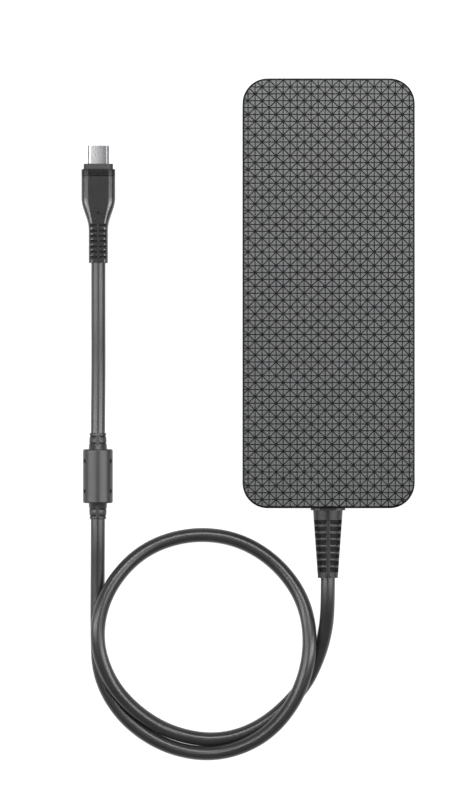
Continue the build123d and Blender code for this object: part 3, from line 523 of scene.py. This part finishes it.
def finishPiece(piece, slotName, stands, edge=0.0, segments=2, finish=None):
    # cleans, rounds the edges, shades and dresses a piece, hides the parts it stands in for and attaches it
    # to the root body
    bpy.ops.mesh.select_all(action="SELECT")
    bpy.ops.mesh.remove_doubles(threshold=shaping["joinGap"] * mm)
    bpy.ops.mesh.dissolve_degenerate(threshold=shaping["joinGap"] * mm)
    bpy.ops.object.mode_set(mode="OBJECT")
    if edge:
        bpy.ops.object.modifier_add(type="BEVEL")
        bevel = piece.modifiers[-1]
        bevel.width = edge * mm
        bevel.segments = segments
        bevel.limit_method = "ANGLE"
        bevel.angle_limit = math.radians(shaping["bevelAngle"])
        bpy.ops.object.modifier_apply(modifier=bevel.name)
    bpy.ops.object.shade_smooth_by_angle(angle=math.radians(shaping["smoothAngle"]))
    bpy.ops.object.modifier_add(type="WEIGHTED_NORMAL")  # so flat faces shade flat beside their bevels
    piece.modifiers[-1].keep_sharp = True
    bpy.ops.object.modifier_apply(modifier=piece.modifiers[-1].name)
    if not piece.data.materials:
        piece.data.materials.append(finish or made[slotName])
    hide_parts(*stands)
    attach(piece, "root")
    print(piece.name, "made:", len(piece.data.polygons), "faces")


lid = {
    "parting": 10.5, "corner": 9.8, "cornerSteps": 16, "grooveDepth": 0.36, "rim": 0.55,
    "wall": 2.2, "lip": 1.1, "lipHeight": 1.9, "seam": 0.12,
    "columns": 24, "columnPitch": 2.7253, "rows": 63, "rowPitch": 2.6736,
    "grooveHalf": 0.145, "grooveSlope": 0.03, "facetEdge": 0.04, "smallestFacet": 0.3, "join": 0.2,
    "inletHalf": 13.7, "inletFloor": 2.6, "inletTop": 22.4, "inletChamfer": 5.66, "through": 5,
    "cordHole": 4.95, "cordHoleSides": 48, "rimSteps": 4, "reliefBelowTop": 0.05, "sideFade": 0.2,
    # painted shade for the groove floors and the rim: a dark colour and a dimmer gloss
    "grooveShadeColour": "#08080a", "grooveShadeGloss": 0.06,
}


def makeLid():
    low, high = (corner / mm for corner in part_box("top_cover"))
    floor = high.z - lid["grooveDepth"]
    bottom = lid["parting"]
    piece = startBlock("patterned_lid", (low.x, low.y, bottom), (high.x, high.y, floor))
    pick("edges", lambda edge: runsAlong(edge, 2))
    bpy.ops.mesh.bevel(offset=lid["corner"] * mm, segments=lid["cornerSteps"], affect="EDGES")
    pick("edges", lambda edge: all(near(vert.co.z, floor * mm) for vert in edge.verts))
    bpy.ops.mesh.bevel(offset=lid["rim"] * mm, segments=lid["rimSteps"], affect="EDGES")
    pick("edges", lambda edge: all(near(vert.co.z, bottom * mm) for vert in edge.verts))
    bpy.ops.mesh.bevel(offset=lid["seam"] * mm, segments=1, affect="EDGES")

    # hollow it in two steps, so that the lower shell's lip has its place
    pick("faces", lambda face: face.normal.z < -0.99)
    bpy.ops.mesh.inset(thickness=(lid["wall"] - lid["lip"] - lid["seam"]) * mm, depth=0)
    bpy.ops.mesh.extrude_region_move(TRANSFORM_OT_translate={"value": (0, 0, lid["lipHeight"] * mm)})
    bpy.ops.mesh.inset(thickness=lid["lip"] * mm, depth=0)
    rise = high.z - lid["wall"] - bottom - lid["lipHeight"]
    bpy.ops.mesh.extrude_region_move(TRANSFORM_OT_translate={"value": (0, 0, rise * mm)})

    # the openings for the mains inlet and the cord
    half, reach = lid["inletHalf"], lid["through"]
    opening = startBlock(
        "inlet_opening", (-half, high.y - reach, lid["inletFloor"]), (half, high.y + reach, lid["inletTop"])
    )
    pick("edges", lambda edge: runsAlong(edge, 1) and edge.verts[0].co.z > bottom * mm)
    bpy.ops.mesh.bevel(offset=lid["inletChamfer"] * mm, segments=1, affect="EDGES")
    combine(piece, opening, "DIFFERENCE")
    opening = startRod(
        "cord_opening", lid["cordHole"], (0, low.y - reach, bottom), (0, low.y + reach, bottom),
        lid["cordHoleSides"],
    )
    combine(piece, opening, "DIFFERENCE")

    # the grooves: every row and column, and the diagonals through every second crossing
    def cutTop(x, y, across):
        pick("faces", lambda face: face.normal.z > 0.99 and near(face.calc_center_median().z, floor * mm))
        cutPlane((x, y, floor), across)

    stepX, stepY = lid["columnPitch"], lid["rowPitch"]
    startX = -(lid["columns"] - 1) / 2 * stepX
    startY = (lid["rows"] - 1) / 2 * stepY
    for column in range(lid["columns"]):
        cutTop(startX + column * stepX, 0, (1, 0, 0))
    for row in range(lid["rows"]):
        cutTop(0, startY - row * stepY, (0, 1, 0))
    for column in range(2 - lid["rows"], lid["columns"], 2):
        cutTop(startX + column * stepX, startY, (stepY, stepX, 0))
    for column in range(1, lid["columns"] + lid["rows"], 2):
        cutTop(startX + column * stepX, startY, (stepY, -stepX, 0))

    # join the crossings that fall almost on each other, mostly along the rim
    pick("verts", lambda vert: near(vert.co.z, floor * mm))
    bpy.ops.mesh.remove_doubles(threshold=lid["join"] * mm)

    # raise each facet between its grooves, all but the slivers beside the rim
    def isFacet(face):
        if face.normal.z < 0.99 or not near(face.calc_center_median().z, floor * mm):
            return False
        return 2 * face.calc_area() / face.calc_perimeter() > lid["smallestFacet"] * mm

    pick("faces", isFacet)
    rise = lid["grooveDepth"] - lid["facetEdge"]
    for thickness, depth in (
        (lid["grooveHalf"], 0), (lid["grooveSlope"], rise), (lid["facetEdge"], lid["facetEdge"])
    ):
        bpy.ops.mesh.inset(
            thickness=thickness * mm, depth=depth * mm, use_individual=True, use_even_offset=True
        )
    # painted shade: a dark colour and a dimmer gloss at the groove floors and round the rim
    grooveShade = {
        "bottom": floor, "top": high.z - lid["reliefBelowTop"], "side": floor - lid["rim"],
        "fade": lid["sideFade"], "colour": lid["grooveShadeColour"], "gloss": lid["grooveShadeGloss"],
    }
    finish = makeFinish({**finishes["case_plastic"], "name": "sparked lid blend"}, grooveShade)
    finishPiece(piece, "case_plastic", ["top_cover"], finish=finish)


makeLid()


relief = {
    "height": 10.5, "base": 5.95, "tip": 3.95, "length": 27.6, "flange": 13.5, "flangeLength": 1.0,
    "flangeCorner": 4.0, "slots": 8, "slot": 1.7, "pitch": 2.69, "first": 5.65, "spine": 0.75,
    "slotDepth": 1.1, "bore": 2.82, "sides": 64, "edge": 0.14,
    "backInside": 1, "flangeInside": 0.5, "flangeSteps": 8, "slotLip": 0.08, "boreSides": 48,
    # painted shade: the sleeve's copy of the moulding is painted darker, as it lies in the case's shade
    "finish": {
        "name": "dull elastomer", "relief": 0.002, "colour": "#0d0d0e", "shade": "#111112",
        "roughness": (0.36, 0.42),
    },
}


def makeRelief():
    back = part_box("top_cover")[0].y / mm
    z = relief["height"]
    start, end = back - relief["flangeLength"], back - relief["length"]
    piece = startRod(
        "gland_sleeve", relief["base"], (0, back + relief["backInside"], z), (0, end, z), relief["sides"]
    )
    dressWithSlots(piece, vary("soft_moulding", relief))
    pick("verts", lambda vert: near(vert.co.y, end * mm))
    share = relief["tip"] / relief["base"]
    bpy.ops.transform.resize(value=(share, 1, share), center_override=(0, end * mm, z * mm))
    stations = []
    for index in range(relief["slots"]):
        centre = back - relief["first"] - index * relief["pitch"]
        stations.append((centre - relief["slot"] / 2, centre + relief["slot"] / 2))
    for pair in stations:
        for y in pair:
            bpy.ops.mesh.select_all(action="SELECT")
            cutPlane((0, y, z), (0, 1, 0))
    for side in (-1, 1):
        bpy.ops.mesh.select_all(action="SELECT")
        cutPlane((side * relief["spine"], 0, z), (1, 0, 0))
        bpy.ops.mesh.select_all(action="SELECT")
        cutPlane((0, 0, z + side * relief["spine"]), (0, 0, 1))

    def inSlot(face):
        at = face.calc_center_median() / mm
        beside = abs(at.x) > relief["spine"] and abs(at.z - z) > relief["spine"]
        return beside and abs(face.normal.y) < 0.5 and any(low < at.y < high for low, high in stations)

    pick("faces", inSlot)
    sinkSlots(relief["slotLip"], relief["slotDepth"])

    half = relief["flange"] / 2
    inside = back + relief["flangeInside"]
    flange = startBlock("gland_flange", (-half, start, z - half), (half, inside, z + half))
    pick("edges", lambda edge: runsAlong(edge, 1))
    bpy.ops.mesh.bevel(offset=relief["flangeCorner"] * mm, segments=relief["flangeSteps"], affect="EDGES")
    combine(piece, flange, "UNION")
    bore = startRod(
        "gland_bore", relief["bore"], (0, back + 2, z), (0, end - 1, z), relief["boreSides"]
    )
    combine(piece, bore, "DIFFERENCE")
    finishPiece(piece, "soft_moulding", ["strain_relief"], relief["edge"])
    return piece


reliefPiece = makeRelief()


choke = {
    "middle": (-90.3, -71.4, 5.9), "radius": 5.85, "length": 21.2, "edge": 0.6, "sides": 96,
    "sleeve": 6.3, "sleeveRoot": 3.6, "sleeveTip": 3.2, "bore": 2.83,
    "rings": (1.0, 3.7), "ringWidth": 0.5, "ringDepth": 0.25, "ringSpine": 0.6,
    "pinRadius": 0.85, "pinDepth": 0.7, "pinSpacing": 11.8, "pinAngle": 62.0,
    "edgeSteps": 4, "ringLip": 0.04, "boreSides": 48, "pinSides": 24, "softEdge": 0.1,
    "finish": {"name": "satin elastomer", "relief": 0.002, "roughness": (0.36, 0.42)},
}


def makeChoke():
    middlePoint = Vector(choke["middle"])
    half = choke["length"] / 2
    ends = [middlePoint.y - half, middlePoint.y + half]
    piece = startRod(
        "ferrite_case", choke["radius"], middlePoint - Vector((0, half, 0)),
        middlePoint + Vector((0, half, 0)), choke["sides"],
    )
    dressWithSlots(piece, vary("soft_moulding", choke))
    pick("edges", lambda edge: any(near(middle(edge).y, y * mm) for y in ends) and not runsAlong(edge, 1))
    bpy.ops.mesh.bevel(offset=choke["edge"] * mm, segments=choke["edgeSteps"], affect="EDGES")

    # a tapered sleeve at each end, with rings cut in it
    faceRadius = choke["radius"] - choke["edge"]
    for side, y in zip((-1, 1), ends):
        pick("faces", lambda face: abs(face.normal.y) > 0.99 and near(face.calc_center_median().y, y * mm))
        bpy.ops.mesh.inset(thickness=(faceRadius - choke["sleeveRoot"]) * mm, depth=0)
        bpy.ops.mesh.extrude_region_move(
            TRANSFORM_OT_translate={"value": (0, side * choke["sleeve"] * mm, 0)}
        )
        share = choke["sleeveTip"] / choke["sleeveRoot"]
        bpy.ops.transform.resize(value=(share, 1, share), center_override=middlePoint * mm)
        tip = y + side * choke["sleeve"]
        rings = [sorted((tip - side * at, tip - side * (at + choke["ringWidth"]))) for at in choke["rings"]]
        for low, high in rings:
            for cut in (low, high):
                bpy.ops.mesh.select_all(action="SELECT")
                cutPlane((0, cut, 0), (0, 1, 0))
        for offset in (-choke["ringSpine"], choke["ringSpine"]):
            pick("faces", lambda face: side * (face.calc_center_median().y / mm - y) > 0
                 and abs(face.normal.y) < 0.5)
            cutPlane((middlePoint.x + offset, 0, 0), (1, 0, 0))
        pick("faces", lambda face: abs(face.normal.y) < 0.5
             and abs(face.calc_center_median().x / mm - middlePoint.x) > choke["ringSpine"]
             and any(low < face.calc_center_median().y / mm < high for low, high in rings))
        sinkSlots(choke["ringLip"], choke["ringDepth"])

    reach = half + choke["sleeve"] + 1
    bore = startRod(
        "ferrite_bore", choke["bore"], middlePoint - Vector((0, reach, 0)),
        middlePoint + Vector((0, reach, 0)), choke["boreSides"],
    )
    combine(piece, bore, "DIFFERENCE")

    # the dimples that the mould's core pins leave
    for side in (-1, 1):
        angle = math.radians(choke["pinAngle"])
        outwards = Vector((side * math.sin(angle), 0, math.cos(angle)))
        for along in (-choke["pinSpacing"] / 2, choke["pinSpacing"] / 2):
            rim = middlePoint + Vector((0, along, 0)) + outwards * choke["radius"]
            pin = startRod(
                "core_pin", choke["pinRadius"], rim - outwards * choke["pinDepth"], rim + outwards,
                choke["pinSides"],
            )
            combine(piece, pin, "DIFFERENCE")
    finishPiece(piece, "soft_moulding", ["ferrite_moulding"], choke["softEdge"])
    return piece


chokePiece = makeChoke()


plug = {
    "middle": (-90.2, 49.35, 3.4), "halfWidth": 6.65, "halfHeight": 3.4, "edge": 2.9, "edgeSteps": 9,
    "band": 2.9, "straight": 11.2, "shoulder": 12.7, "length": 36.95, "neckHalf": 3.8, "shoulderSteps": 14,
    "slots": 7, "slot": 0.95, "pitch": 2.08, "first": 21.85, "spine": 0.42, "slotReach": 3.3,
    "slotDepth": 0.9, "slotLip": 0.06, "softEdge": 0.1,
    "collarHalf": 5.8, "collarHeight": 2.7, "collar": 2.05, "shellHalf": 4.125, "shellHeight": 1.2,
    "shell": 7.25, "shellTail": 3.4, "shellWall": 0.25, "lamp": 17.4, "lampRadius": 0.6,
    "lampFloor": 1.2, "lampSides": 32,
    "bandFace": 0.5, "bandEdge": 0.25, "collarInside": 0.5, "collarRounding": 2.3, "collarSteps": 8,
    "collarFace": 0.9, "collarStep": (0.1, 0.15), "collarEdge": 0.35, "shellSteps": 10, "shellEdge": 0.07,
    "finish": {"name": "glossy elastomer", "roughness": (0.2, 0.25), "relief": 0.001},
}


def plugPoint(x, back, z):
    # a point by how far it lies right of, behind and above the plug's middle
    return (plug["middle"][0] + x, plug["middle"][1] - back, plug["middle"][2] + z)


def roundedBlock(name, halfWidth, halfHeight, front, back, rounding, steps):
    piece = startBlock(
        name, plugPoint(-halfWidth, back, -halfHeight), plugPoint(halfWidth, front, halfHeight)
    )
    pick("edges", lambda edge: runsAlong(edge, 1))
    bpy.ops.mesh.bevel(offset=rounding * mm, segments=steps, affect="EDGES")
    return piece


def makeOvermould():
    piece = roundedBlock(
        "plug_body", plug["halfWidth"], plug["halfHeight"], plug["band"], plug["straight"],
        plug["edge"], plug["edgeSteps"],
    )
    dressWithSlots(piece, vary("soft_moulding", plug))
    pick("faces", lambda face: face.normal.y < -0.99)
    width = plug["halfWidth"]
    for step in range(1, plug["shoulderSteps"] + 1):
        share = (1 - math.cos(math.pi * step / plug["shoulderSteps"])) / 2
        target = plug["halfWidth"] + (plug["neckHalf"] - plug["halfWidth"]) * share
        run = plug["shoulder"] / plug["shoulderSteps"]
        bpy.ops.mesh.extrude_region_move(TRANSFORM_OT_translate={"value": (0, -run * mm, 0)})
        bpy.ops.transform.resize(
            value=(target / width, 1, 1), center_override=Vector(plug["middle"]) * mm
        )
        width = target
    neck = plug["length"] - plug["straight"] - plug["shoulder"]
    bpy.ops.mesh.extrude_region_move(TRANSFORM_OT_translate={"value": (0, -neck * mm, 0)})

    stations = []
    for index in range(plug["slots"]):
        front = plug["first"] + index * plug["pitch"]
        stations.append((front, front + plug["slot"]))
    for pair in stations:
        for back in pair:
            bpy.ops.mesh.select_all(action="SELECT")
            cutPlane(plugPoint(0, back, 0), (0, 1, 0))
    for x in (plug["spine"], plug["slotReach"]):
        for side in (-1, 1):
            pick("faces", lambda face: face.calc_center_median().y < plugPoint(0, plug["first"], 0)[1] * mm)
            cutPlane(plugPoint(side * x, 0, 0), (1, 0, 0))

    def inSlot(face):
        at = face.calc_center_median() / mm - Vector(plug["middle"])
        across = plug["spine"] < abs(at.x) < plug["slotReach"] and abs(face.normal.y) < 0.5
        return across and any(low < -at.y < high for low, high in stations)

    pick("faces", inSlot)
    sinkSlots(plug["slotLip"], plug["slotDepth"])
    lampHole = startRod(
        "lamp_hole", plug["lampRadius"], plugPoint(0, plug["lamp"], plug["lampFloor"]),
        plugPoint(0, plug["lamp"], 5), plug["lampSides"],
    )
    combine(piece, lampHole, "DIFFERENCE")
    finishPiece(piece, "soft_moulding", ["plug_moulding"], plug["softEdge"])
    return piece


def makeBand():
    piece = roundedBlock(
        "plug_ring", plug["halfWidth"], plug["halfHeight"], 0, plug["band"], plug["edge"], plug["edgeSteps"]
    )
    pick("faces", lambda face: face.normal.y > 0.99)
    bpy.ops.mesh.inset(thickness=plug["bandFace"] * mm, depth=0)
    finishPiece(piece, "plug_gloss", ["plug_band"], plug["bandEdge"], 3)
    return piece


def makeCollar():
    piece = roundedBlock(
        "plug_nose_ring", plug["collarHalf"], plug["collarHeight"], -plug["collar"],
        plug["collarInside"], plug["collarRounding"], plug["collarSteps"],
    )
    pick("faces", lambda face: face.normal.y > 0.99)
    stepIn, stepDown = plug["collarStep"]
    bpy.ops.mesh.inset(thickness=plug["collarFace"] * mm, depth=0)
    bpy.ops.mesh.inset(thickness=stepIn * mm, depth=-stepDown * mm)
    finishPiece(piece, "plug_nose", ["plug_collar"], plug["collarEdge"], 3)
    return piece


def makeShell():
    piece = roundedBlock(
        "plug_steel_shell", plug["shellHalf"], plug["shellHeight"], -plug["collar"] - plug["shell"],
        plug["shellTail"], plug["shellHeight"] - 0.01, plug["shellSteps"],
    )
    pick("faces", lambda face: abs(face.normal.y) > 0.99)
    bpy.ops.mesh.delete(type="FACE")
    bpy.ops.object.mode_set(mode="OBJECT")
    bpy.ops.object.modifier_add(type="SOLIDIFY")
    piece.modifiers[-1].thickness = plug["shellWall"] * mm
    bpy.ops.object.modifier_apply(modifier=piece.modifiers[-1].name)
    bpy.ops.object.mode_set(mode="EDIT")
    finishPiece(piece, "plug_steel", ["plug_shell"], plug["shellEdge"])
    return piece


plugPieces = [makeOvermould(), makeBand(), makeCollar(), makeShell()]

cordJacket.data.materials.append(made["cord_jacket"])
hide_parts("power_cord")
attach(cordJacket, "root")
onCord = ["cord_tail", "ferrite_core", "plug_insulator", "plug_contacts", "plug_latch", "plug_board"]
onCord += ["indicator_lens", "indicator_light"]


studio = {
    "floorSize": 6.0, "floorGap": 0.0001, "floorColour": "#808080", "floorGlow": 0.85, "sky": 0.25,
    "aim": (-0.03, -0.04, 0),
    "lamps": [
        {"name": "left box", "place": (-0.95, -0.05, 0.85), "size": (0.2, 1.6), "power": 17},
        {"name": "right box", "place": (0.9, -0.05, 0.95), "size": (0.16, 1.6), "power": 20},
        {"name": "far box", "place": (0.0, 0.45, 0.95), "size": (1.2, 0.2), "power": 14.5},
    ],
}

clearSelection()
bpy.ops.mesh.primitive_plane_add(size=studio["floorSize"], location=(0, 0, -studio["floorGap"]))
floor = bpy.context.object
floor.name = "studio_floor"
paper = bpy.data.materials.new("glowing white sheet")  # lit from beneath, so that shadows hardly show
paper.use_nodes = True
for socket, value in {
    "Base Color": linear(studio["floorColour"]), "Roughness": 0.9, "Specular IOR Level": 0.0,
    "Emission Color": (1, 1, 1, 1), "Emission Strength": studio["floorGlow"],
}.items():
    paper.node_tree.nodes["Principled BSDF"].inputs[socket].default_value = value
floor.data.materials.append(paper)

for lamp in studio["lamps"]:
    place = Vector(lamp["place"])
    aim = Vector(studio["aim"]) - place
    bpy.ops.object.light_add(
        type="AREA", location=place, rotation=aim.to_track_quat("-Z", "Y").to_euler()
    )
    bpy.context.object.name = lamp["name"]
    light = bpy.context.object.data
    light.shape = "RECTANGLE"
    light.size, light.size_y = lamp["size"]
    light.energy = lamp["power"]

world = bpy.data.worlds.new("studio sky")
world.use_nodes = True
world.node_tree.nodes["Background"].inputs["Color"].default_value = (1, 1, 1, 1)
world.node_tree.nodes["Background"].inputs["Strength"].default_value = studio["sky"]
bpy.context.scene.world = world
bpy.context.scene.view_settings.view_transform = "Standard"
print("studio lit:", len(studio["lamps"]), "lamps")
